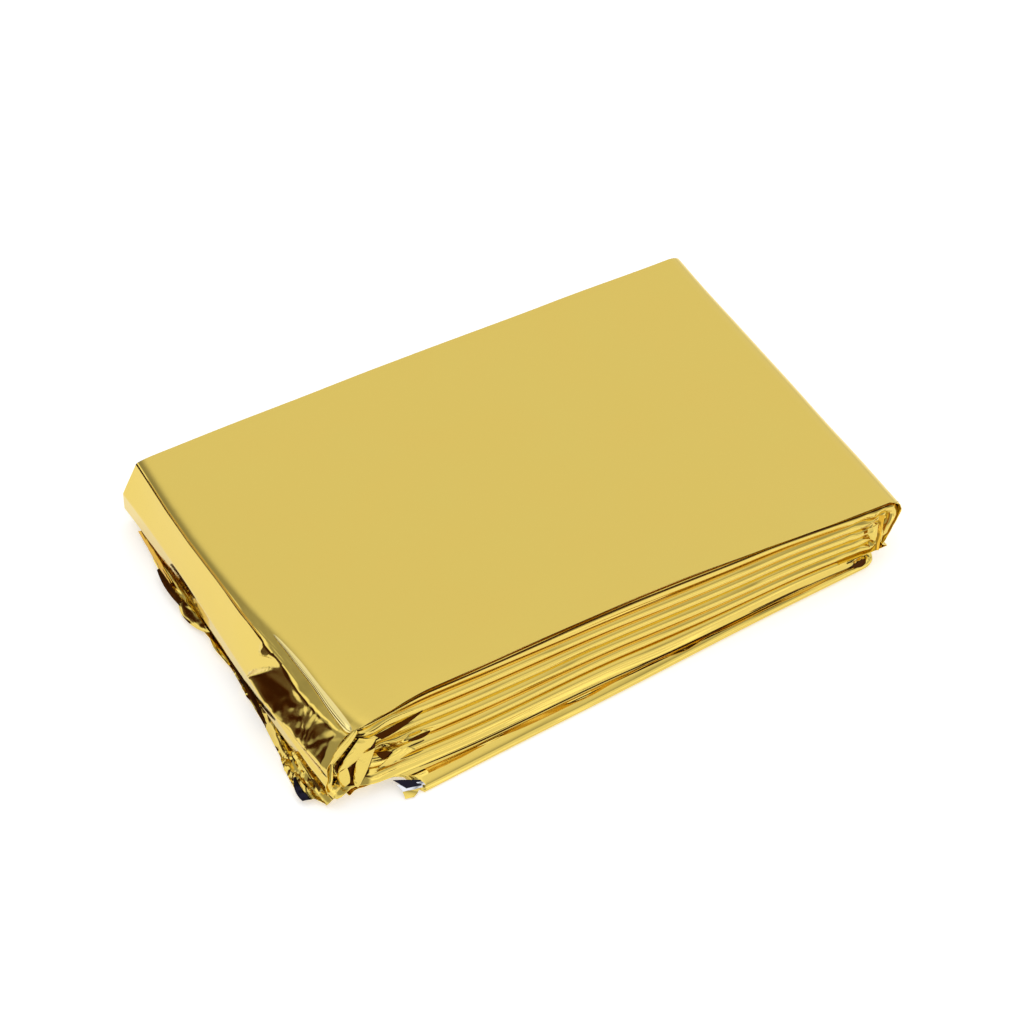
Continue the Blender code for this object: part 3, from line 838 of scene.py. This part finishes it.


# %% Leaves at the corners
# Each leaf: name, two sides (three points each, mm), bow, crumple and seed. The shaded ones are
# dark sheets of painted shade in the hollows between plies; those at the right end name their finish
# too.
CORNER_LEAVES = (
    ("corner_leaf_upper", ((-55.2, -39.7, 14.1), (-57.3, -39.3, 10.7), (-59.2, -38.9, 7.5)),
     ((-52.6, -41.3, 14.4), (-54.7, -41.0, 11.2), (-59.4, -39.1, 6.1)), 0.3, 0.05, 61),
    ("corner_leaf_long", ((-55.6, -40.5, 10.9), (-56.6, -40.5, 7.8), (-57.4, -41.1, 4.7)),
     ((-53.1, -41.8, 12.4), (-55.0, -42.0, 7.5), (-56.8, -41.8, 3.8)), 0.3, 0.06, 64),
    ("corner_leaf_lower", ((-59.6, -39.1, 6.5), (-59.7, -39.6, 5.1), (-59.1, -40.4, 3.7)),
     ((-58.0, -39.8, 8.0), (-57.8, -40.4, 6.3), (-58.0, -40.8, 4.8)), 0.25, 0.05, 67),
    ("corner_leaf_flat", ((-49.1, -40.9, 7.9), (-46.5, -40.8, 8.1), (-44.4, -41.2, 7.0)),
     ((-52.3, -41.4, 6.4), (-48.5, -41.5, 6.2), (-44.5, -41.2, 6.8)), 0.2, 0.03, 71),
)
SHADED_LEAVES = (
    ("behind_corner_leaves", ((-55.1, -39.1, 13.8), (-58.1, -38.4, 9.4), (-61.0, -37.6, 5.2)),
     ((-52.3, -40.8, 13.4), (-53.6, -41.0, 8.0), (-56.3, -41.2, 3.2)), 0.0, 0.12, 75),
    ("hollow_under_top", ((-51.9, -39.4, 12.8), (-47.0, -39.2, 13.25), (-41.5, -39.0, 13.85)),
     ((-50.6, -39.8, 11.5), (-46.4, -39.7, 12.2), (-41.5, -39.1, 13.65)), 0.0, 0.04, 77),
    ("hollow_in_folds", ((-52.1, -40.4, 9.1), (-50.7, -40.5, 9.0), (-48.9, -40.7, 8.2)),
     ((-52.0, -40.5, 8.9), (-50.9, -40.9, 7.5), (-48.9, -40.75, 7.9)), 0.0, 0.02, 79),
    ("slit_in_folds", ((-45.4, -40.3, 8.8), (-43.0, -40.2, 9.1), (-40.6, -40.2, 9.0)),
     ((-45.3, -40.35, 8.6), (-42.5, -40.5, 8.3), (-40.6, -40.25, 8.8)), 0.0, 0.02, 81),
)
# At the right end the shaded leaf and the last one are sheets of painted shade, amber and brown.
RIGHT_LEAVES = (
    ("right_leaf_crumpled", ((57.5, -36.6, 10.1), (57.4, -36.8, 9.2), (57.4, -36.9, 8.4)),
     ((59.4, -37.2, 11.1), (59.0, -37.5, 9.2), (58.7, -37.8, 7.4)), 0.3, 0.14, 101, gold_film),
    ("right_leaf_shaded", ((61.0, -37.0, 12.5), (59.9, -37.7, 9.2), (58.5, -39.1, 6.1)),
     ((60.0, -36.4, 12.4), (59.2, -37.2, 9.3), (57.8, -38.8, 6.1)), 0.1, 0.12, 103, gold_painted_bounce_light),
    ("painted_shade_right_end", ((53.2, -37.85, 3.3), (55.4, -37.65, 3.7), (56.6, -37.65, 3.4)),
     ((53.2, -37.9, 3.0), (55.2, -38.05, 2.3), (56.5, -37.85, 2.7)), 0.0, 0.04, 105, gold_painted_deep_shade),
)
corner_leaves = [leaf(*row, gold_film) for row in CORNER_LEAVES]
corner_leaves += [leaf(*row, gold_painted_deep_shade) for row in SHADED_LEAVES]
corner_leaves += [leaf(*row) for row in RIGHT_LEAVES]

# %% [markdown]
# ## The free end and the silver corner
# The sheet ends under the flap in a ragged, ruffled edge. It is one grid along the edge and
# inwards from it, whose ruffles grow outwards. At the front the bottom ply turns over, and shows
# the silver side of the film. Some plies stand out under the flap as small leaves: an amber one at
# the back, whose amber is painted bounced light, a pale tab, and dark ones, sheets of painted shade.

# %% Free end
END_LONG, END_DEEP = 300, 34
END_ROOT = -58.0  # the grid starts here, hidden under the flap
END_LEVEL, END_LOWEST = 1.4, 0.15
END_BULGES = ((-38.0, 0.8), (2.0, 0.7))  # the edge stands out more: place along Y, and how far
end_y = np.linspace(-44.5, 38.0, END_LONG)[:, None] * np.ones((1, END_DEEP))
outwards = np.linspace(0.0, 1.0, END_DEEP)[None, :] * np.ones((END_LONG, 1))
calm = 0.3 + 0.7 * smooth_ramp(-end_y, -6.0, 16.0)
ragged = calm * (0.7 * creases(end_y, 0 * end_y, 14.0, 83) + 0.2 * creases(end_y, 0 * end_y, 5.0, 85))
end_edge = np.interp(end_y, FREE_EDGE[:, 1], FREE_EDGE[:, 0]) + np.minimum(ragged, 0.1)
for bulge_y, bulge_out in END_BULGES:
    end_edge = end_edge - bulge_out * bump(end_y, bulge_y, 5.0)
end_x = END_ROOT + (end_edge - END_ROOT) * outwards
end_lift = smooth_ramp(outwards, 0.1, 0.6) * calm
end_z = END_LEVEL + end_lift * (0.75 * creases(0.32 * end_y, 1.1 * end_x, 3.6, 87)
                                + 0.2 * creases(0.6 * end_y, end_x, 3.0, 89))
end_z = np.maximum(end_z - (calm - 0.3) * smooth_ramp(outwards, 0.7, 1.0), END_LOWEST)
free_end = film_shell("free_end", np.stack((end_x - BOX_MIDDLE[0], end_y - BOX_MIDDLE[1], end_z), -1),
                      gold_film, sharp=math.radians(25))

# %% Silver corner
# The silver side in painted shade and in light, and the gold tip, written like the leaves above.
TURNED_LEAVES = (
    ("silver_shade", ((-49.6, -41.9, 1.95), (-48.7, -43.4, 1.6), (-48.1, -44.4, 1.3)),
     ((-45.1, -44.3, 1.95), (-45.0, -44.8, 1.6), (-45.4, -45.2, 1.3)), 0.1, 0.0, 90, silver_painted_deep_shade),
    ("silver_corner", ((-49.3, -42.9, 1.4), (-49.0, -43.8, 1.2), (-49.0, -44.6, 0.95)),
     ((-44.9, -44.8, 1.75), (-44.7, -45.1, 1.5), (-44.5, -45.5, 0.95)), 0.08, 0.0, 91, silver_film),
    ("silver_tip", ((-49.0, -44.5, 0.9), (-49.0, -45.1, 0.5), (-49.1, -45.7, 0.1)),
     ((-46.0, -45.3, 0.9), (-46.3, -45.6, 0.5), (-47.4, -46.1, 0.1)), 0.05, 0.0, 93, gold_film),
)
turned_leaves = [leaf(*row) for row in TURNED_LEAVES]

# %% Leaves at the free end
# Written like the leaves above. The amber leaf carries painted bounced light, and the dark ones are
# painted shade.
END_LEAVES = (
    ("end_leaf_back", ((-59.4, 40.8, 1.3), (-60.4, 31.9, 1.3), (-61.1, 24.9, 1.1)),
     ((-59.0, 39.5, 2.4), (-60.0, 31.0, 2.6), (-60.8, 24.0, 2.6)), 0.1, 0.05, 95, gold_painted_bounce_light),
    ("end_leaf_shaded", ((-61.5, 29.0, 1.9), (-62.4, 24.0, 1.8), (-62.3, 18.8, 1.8)),
     ((-61.0, 29.0, 2.0), (-61.2, 24.0, 2.1), (-61.5, 18.8, 2.1)), 0.1, 0.05, 96, gold_painted_deep_shade),
    ("end_tab_pale", ((-61.8, 19.7, 0.9), (-62.6, 15.6, 0.8), (-61.3, 10.9, 0.9)),
     ((-61.1, 19.0, 2.3), (-61.0, 14.4, 2.4), (-60.8, 8.8, 2.3)), 0.1, 0.05, 99, gold_film),
    ("end_strip_shaded", ((-61.4, 1.5, 2.5), (-62.3, -8.0, 2.5), (-63.5, -17.5, 2.3)),
     ((-60.8, 1.5, 2.6), (-61.3, -8.0, 2.6), (-63.1, -18.0, 2.5)), 0.1, 0.12, 97, gold_painted_deep_shade),
    ("end_corner_shaded", ((-64.9, -31.9, 1.5), (-66.2, -34.6, 1.3), (-66.2, -37.4, 1.0)),
     ((-64.5, -31.9, 1.6), (-65.0, -34.8, 1.6), (-64.6, -38.0, 1.2)), 0.1, 0.05, 98, silver_painted_deep_shade),
)
end_leaves = [leaf(*row) for row in END_LEAVES]

# %% [markdown]
# ## Attaching the pieces
# Every piece moves with the one body of the packet. The folded strip stands for the plain model,
# which is hidden.

# %% Ride and replace
loose_pieces = [outer_film, mouth_film, free_end, *rolls, *gap_lines, *corner_leaves, *turned_leaves,
                *end_leaves]
for piece in [folded_strip, *loose_pieces]:
    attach(piece, "root")
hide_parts("foil_blanket")
print("pieces declared:", 1 + len(loose_pieces))

# %% [markdown]
# ## The studio
# A mirror only looks like something in a room, so the room matters more than the finish. The
# floor is near white and glows a little. Around it is a bright low wall. A broad softbox half way
# up at the back right fills the top of the packet, one overhead and one low in front light its ridges,
# and a small one at the back left lights the rounding of the flap's fold. Darker cards stand low
# at the back left, for the flap's patch and wrinkles, and high in front, behind and at the right,
# for the darker lines along folds.

# %% Floor
FLOOR_HALF, FLOOR_DROP = 6.0, 0.0002  # in metres; the drop keeps it clear of the packet
floor_finish = bpy.data.materials.new("pale studio floor")
floor_finish.use_nodes = True
floor_shader = floor_finish.node_tree.nodes["Principled BSDF"]
floor_shader.inputs["Base Color"].default_value = linear("#F4F4F4")
floor_shader.inputs["Roughness"].default_value = 0.9
floor_shader.inputs["Specular IOR Level"].default_value = 0.1
floor_shader.inputs["Emission Color"].default_value = (1.0, 1.0, 1.0, 1.0)
floor_shader.inputs["Emission Strength"].default_value = 0.46  # a light table glows a little
floor_mesh = bpy.data.meshes.new("studio_floor")
floor_corners = [(x * FLOOR_HALF, y * FLOOR_HALF, -FLOOR_DROP)
                 for x, y in ((-1, -1), (1, -1), (1, 1), (-1, 1))]
floor_mesh.from_pydata(floor_corners, [], [(0, 1, 2, 3)])
floor_mesh.materials.append(floor_finish)
floor = bpy.data.objects.new("studio_floor", floor_mesh)
bpy.context.scene.collection.objects.link(floor)
print("floor, m across:", 2 * FLOOR_HALF)


# %% Light of the room
def direction(azimuth, elevation):
    """Unit vector towards a part of the room: azimuth from the back (+Y) towards +X, in degrees."""
    a, e = math.radians(azimuth), math.radians(elevation)
    return (math.sin(a) * math.cos(e), math.cos(a) * math.cos(e), math.sin(e))


ROOM_BASE = 0.45
WALL_TOP = (0.12, 0.26)  # the bright low wall fades out between these, as sines
WALL_LEVEL = 0.95
# Lights: azimuth, elevation, inner and outer half angle in degrees, strength added.
LIGHTS = (
    (44.0, 37.0, 21.0, 30.0, 0.49),
    (0.0, 90.0, 18.0, 45.0, 0.80),
    (158.0, 14.0, 26.0, 36.0, 0.60),
    (-32.0, 42.0, 7.0, 15.0, 0.80),
)
# Dark cards: azimuth, elevation, inner and outer half angle in degrees, share of light left.
CARDS = (
    (-42.0, 9.0, 17.0, 26.0, 0.24),
    (-4.0, 55.0, 7.0, 16.0, 0.74),
    (100.0, 62.0, 14.0, 24.0, 0.85),
    (208.0, 48.0, 7.0, 15.0, 0.30),
)
DARK_TINT = linear("#A86034")  # what is dark in a room is warm: wood and shade


def cap_share(looking, azimuth, elevation, inner, outer):
    """1 within the inner half angle of a direction, 0 beyond the outer one, smooth between."""
    nearness = add_node(room, "ShaderNodeVectorMath",
                        {"operation": "DOT_PRODUCT", 1: direction(azimuth, elevation)}, {0: looking})
    cap = add_node(room, "ShaderNodeMapRange",
                   {"interpolation_type": "SMOOTHSTEP", "From Min": math.cos(math.radians(outer)),
                    "From Max": math.cos(math.radians(inner))}, {"Value": nearness.outputs["Value"]})
    return cap.outputs["Result"]


world = bpy.data.worlds.new("studio room")
world.use_nodes = True
room = world.node_tree
background = room.nodes["Background"]
looking = add_node(room, "ShaderNodeTexCoord").outputs["Generated"]
height = add_node(room, "ShaderNodeSeparateXYZ", (), {0: looking}).outputs["Z"]
wall = add_node(room, "ShaderNodeMapRange",
                {"interpolation_type": "SMOOTHSTEP", "From Min": WALL_TOP[0], "From Max": WALL_TOP[1],
                 "To Min": WALL_LEVEL, "To Max": ROOM_BASE}, {"Value": height})
total = wall.outputs["Result"]
for azimuth, elevation, inner, outer, strength in LIGHTS:
    share = cap_share(looking, azimuth, elevation, inner, outer)
    total = add_node(room, "ShaderNodeMath", {"operation": "MULTIPLY_ADD", 1: strength},
                     {0: share, 2: total}).outputs[0]
for azimuth, elevation, inner, outer, left in CARDS:
    share = cap_share(looking, azimuth, elevation, inner, outer)
    kept = add_node(room, "ShaderNodeMapRange", {"To Min": 1.0, "To Max": left}, {"Value": share})
    total = add_node(room, "ShaderNodeMath", {"operation": "MULTIPLY"},
                     {0: total, 1: kept.outputs["Result"]}).outputs[0]
warmth = add_node(room, "ShaderNodeMapRange", {"From Min": 0.17, "From Max": 0.34}, {"Value": total})
tint = add_node(room, "ShaderNodeMix", {"data_type": "RGBA", 6: DARK_TINT, 7: (1.0, 1.0, 1.0, 1.0)},
                {0: warmth.outputs["Result"]})
room.links.new(total, background.inputs["Strength"])
room.links.new(tint.outputs[2], background.inputs["Color"])
scene = bpy.context.scene
scene.world = world
scene.view_settings.view_transform = "Standard"
scene.cycles.glossy_bounces = 10
scene.cycles.max_bounces = 14
print("lights and dark cards:", len(LIGHTS), len(CARDS))

# %% Camera
CAMERA_AZIMUTH, CAMERA_ELEVATION = -30.07, 44.09  # degrees: to the left of the front, and above
CAMERA_DISTANCE = 1.2
CAMERA_TARGET = np.array((1.61, 2.47, 9.0)) * MM
CAMERA_LENS, SENSOR_WIDTH = 220.2, 36.0  # in mm, as on a real camera
turn, rise = math.radians(CAMERA_AZIMUTH), math.radians(CAMERA_ELEVATION)
away = np.array((math.sin(turn) * math.cos(rise), -math.cos(turn) * math.cos(rise), math.sin(rise)))
camera_data = bpy.data.cameras.new("camera")
camera_data.lens = CAMERA_LENS
camera_data.sensor_width = SENSOR_WIDTH
camera_data.clip_end = 50.0
camera = bpy.data.objects.new("camera", camera_data)
camera.location = CAMERA_TARGET + away * CAMERA_DISTANCE
camera.rotation_euler = (math.radians(90) - rise, 0.0, turn)
scene.collection.objects.link(camera)
bpy.context.scene.camera = camera
print("camera at, m:", [round(c, 3) for c in camera.location])
